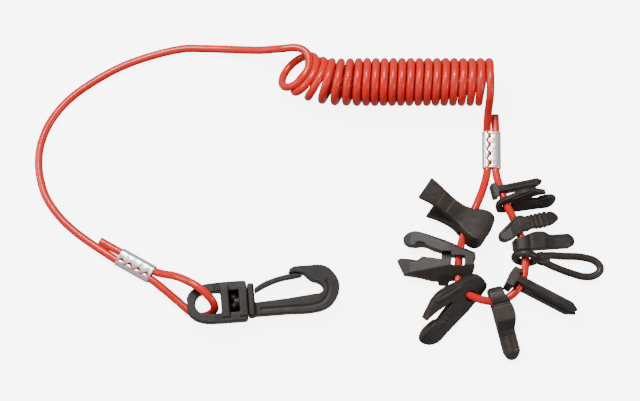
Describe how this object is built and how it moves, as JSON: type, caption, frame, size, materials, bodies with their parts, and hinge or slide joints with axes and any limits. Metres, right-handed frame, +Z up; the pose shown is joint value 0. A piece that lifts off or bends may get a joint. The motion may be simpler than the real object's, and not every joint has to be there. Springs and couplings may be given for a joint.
{
  "type": "engine kill switch lanyard",
  "caption": "Coiled safety lanyard with a swivel snap hook at one end and a loop of moulded kill switch keys at the other.",
  "frame": {"origin": "on the bench, under the middle of the box round the hook, its frame and the keys", "axes": "+X along the coil from the hook towards the keys, +Y from the keys towards the coil, +Z up off the bench"},
  "size_m": [0.285, 0.1622, 0.0248],
  "materials": {
    "red_cord": "glossy extruded polyurethane",
    "ferrule_metal": "bright tin-coloured pressed sheet",
    "black_plastic": "satin moulded nylon"
  },
  "bodies": {
    "lanyard": {"cord_hook_side": "red_cord", "cord_key_side": "red_cord", "coil": "red_cord", "ferrule_hook_side": "ferrule_metal", "ferrule_key_side": "ferrule_metal"},
    "frame_body": {"swivel_frame": "black_plastic"},
    "hook_body": {"hook": "black_plastic"},
    "gate_body": {"gate": "black_plastic"},
    "slim_fork_small_body": {"slim_fork_key_small": "black_plastic"},
    "bulb_fork_small_body": {"bulb_fork_key_small": "black_plastic"},
    "ribbed_body": {"ribbed_key": "black_plastic"},
    "pad_small_body": {"pad_key_small": "black_plastic"},
    "loop_body": {"loop_key": "black_plastic"},
    "slim_fork_large_body": {"slim_fork_key_large": "black_plastic"},
    "pad_large_body": {"pad_key_large": "black_plastic"},
    "bulb_fork_large_body": {"bulb_fork_key_large": "black_plastic"},
    "lug_fork_body": {"lug_fork_key": "black_plastic"},
    "peg_body": {"peg_key": "black_plastic"}
  },
  "joints": [
    {"name": "eye_swing", "type": "hinge", "parent": "lanyard", "child": "frame_body", "pos_m": [-0.09053, -0.02031, 0.00797], "axis": [0.0608, 0.0053, 0.9981], "range_deg": [0, 25]},
    {"name": "hook_swivel", "type": "hinge", "parent": "frame_body", "child": "hook_body", "pos_m": [-0.0728, -0.01676, 0.00687], "axis": [0.9943, 0.087, -0.061], "continuous": true},
    {"name": "gate_flex", "type": "hinge", "parent": "hook_body", "child": "gate_body", "pos_m": [-0.06991, -0.01199, 0.00667], "axis": [-0.0608, -0.0053, -0.9981], "range_deg": [0, 15], "stiffness_Nm_per_rad": 0.02},
    {"name": "slim_fork_small_lift", "type": "hinge", "parent": "lanyard", "child": "slim_fork_small_body", "pos_m": [0.05294, 0.03938, 0.00578], "axis": [0.2527, -0.9429, 0.217], "range_deg": [0, 60]},
    {"name": "bulb_fork_small_lift", "type": "hinge", "parent": "lanyard", "child": "bulb_fork_small_body", "pos_m": [0.05542, 0.03177, 0.0064], "axis": [0.3908, -0.9205, -0.0047], "range_deg": [0, 60]},
    {"name": "ribbed_lift", "type": "hinge", "parent": "lanyard", "child": "ribbed_body", "pos_m": [0.06005, 0.02137, 0.00572], "axis": [0.361, -0.9318, -0.0371], "range_deg": [0, 60]},
    {"name": "pad_small_lift", "type": "hinge", "parent": "lanyard", "child": "pad_small_body", "pos_m": [0.06315, 0.01241, 0.00618], "axis": [0.2014, -0.9719, 0.1219], "range_deg": [0, 60]},
    {"name": "loop_lift", "type": "hinge", "parent": "lanyard", "child": "loop_body", "pos_m": [0.06391, 0.00465, 0.00725], "axis": [0.0083, -0.9984, 0.0551], "range_deg": [0, 60]},
    {"name": "slim_fork_large_lift", "type": "hinge", "parent": "lanyard", "child": "slim_fork_large_body", "pos_m": [0.06143, -0.0082, 0.00736], "axis": [-0.464, -0.8854, -0.0267], "range_deg": [0, 60]},
    {"name": "pad_large_lift", "type": "hinge", "parent": "lanyard", "child": "pad_large_body", "pos_m": [0.05092, -0.01655, 0.00549], "axis": [-0.9657, -0.237, -0.1065], "range_deg": [0, 35]},
    {"name": "bulb_fork_large_lift", "type": "hinge", "parent": "lanyard", "child": "bulb_fork_large_body", "pos_m": [0.03475, -0.013, 0.00714], "axis": [-0.8078, 0.5895, -0.0079], "range_deg": [0, 5]},
    {"name": "lug_fork_lift", "type": "hinge", "parent": "lanyard", "child": "lug_fork_body", "pos_m": [0.03115, 0.0039, 0.00575], "axis": [0.0876, 0.9927, 0.0825], "range_deg": [0, 40]},
    {"name": "peg_lift", "type": "hinge", "parent": "lanyard", "child": "peg_body", "pos_m": [0.03594, 0.02153, 0.01025], "axis": [0.399, 0.9123, 0.0926], "range_deg": [0, 60]}
  ]
}
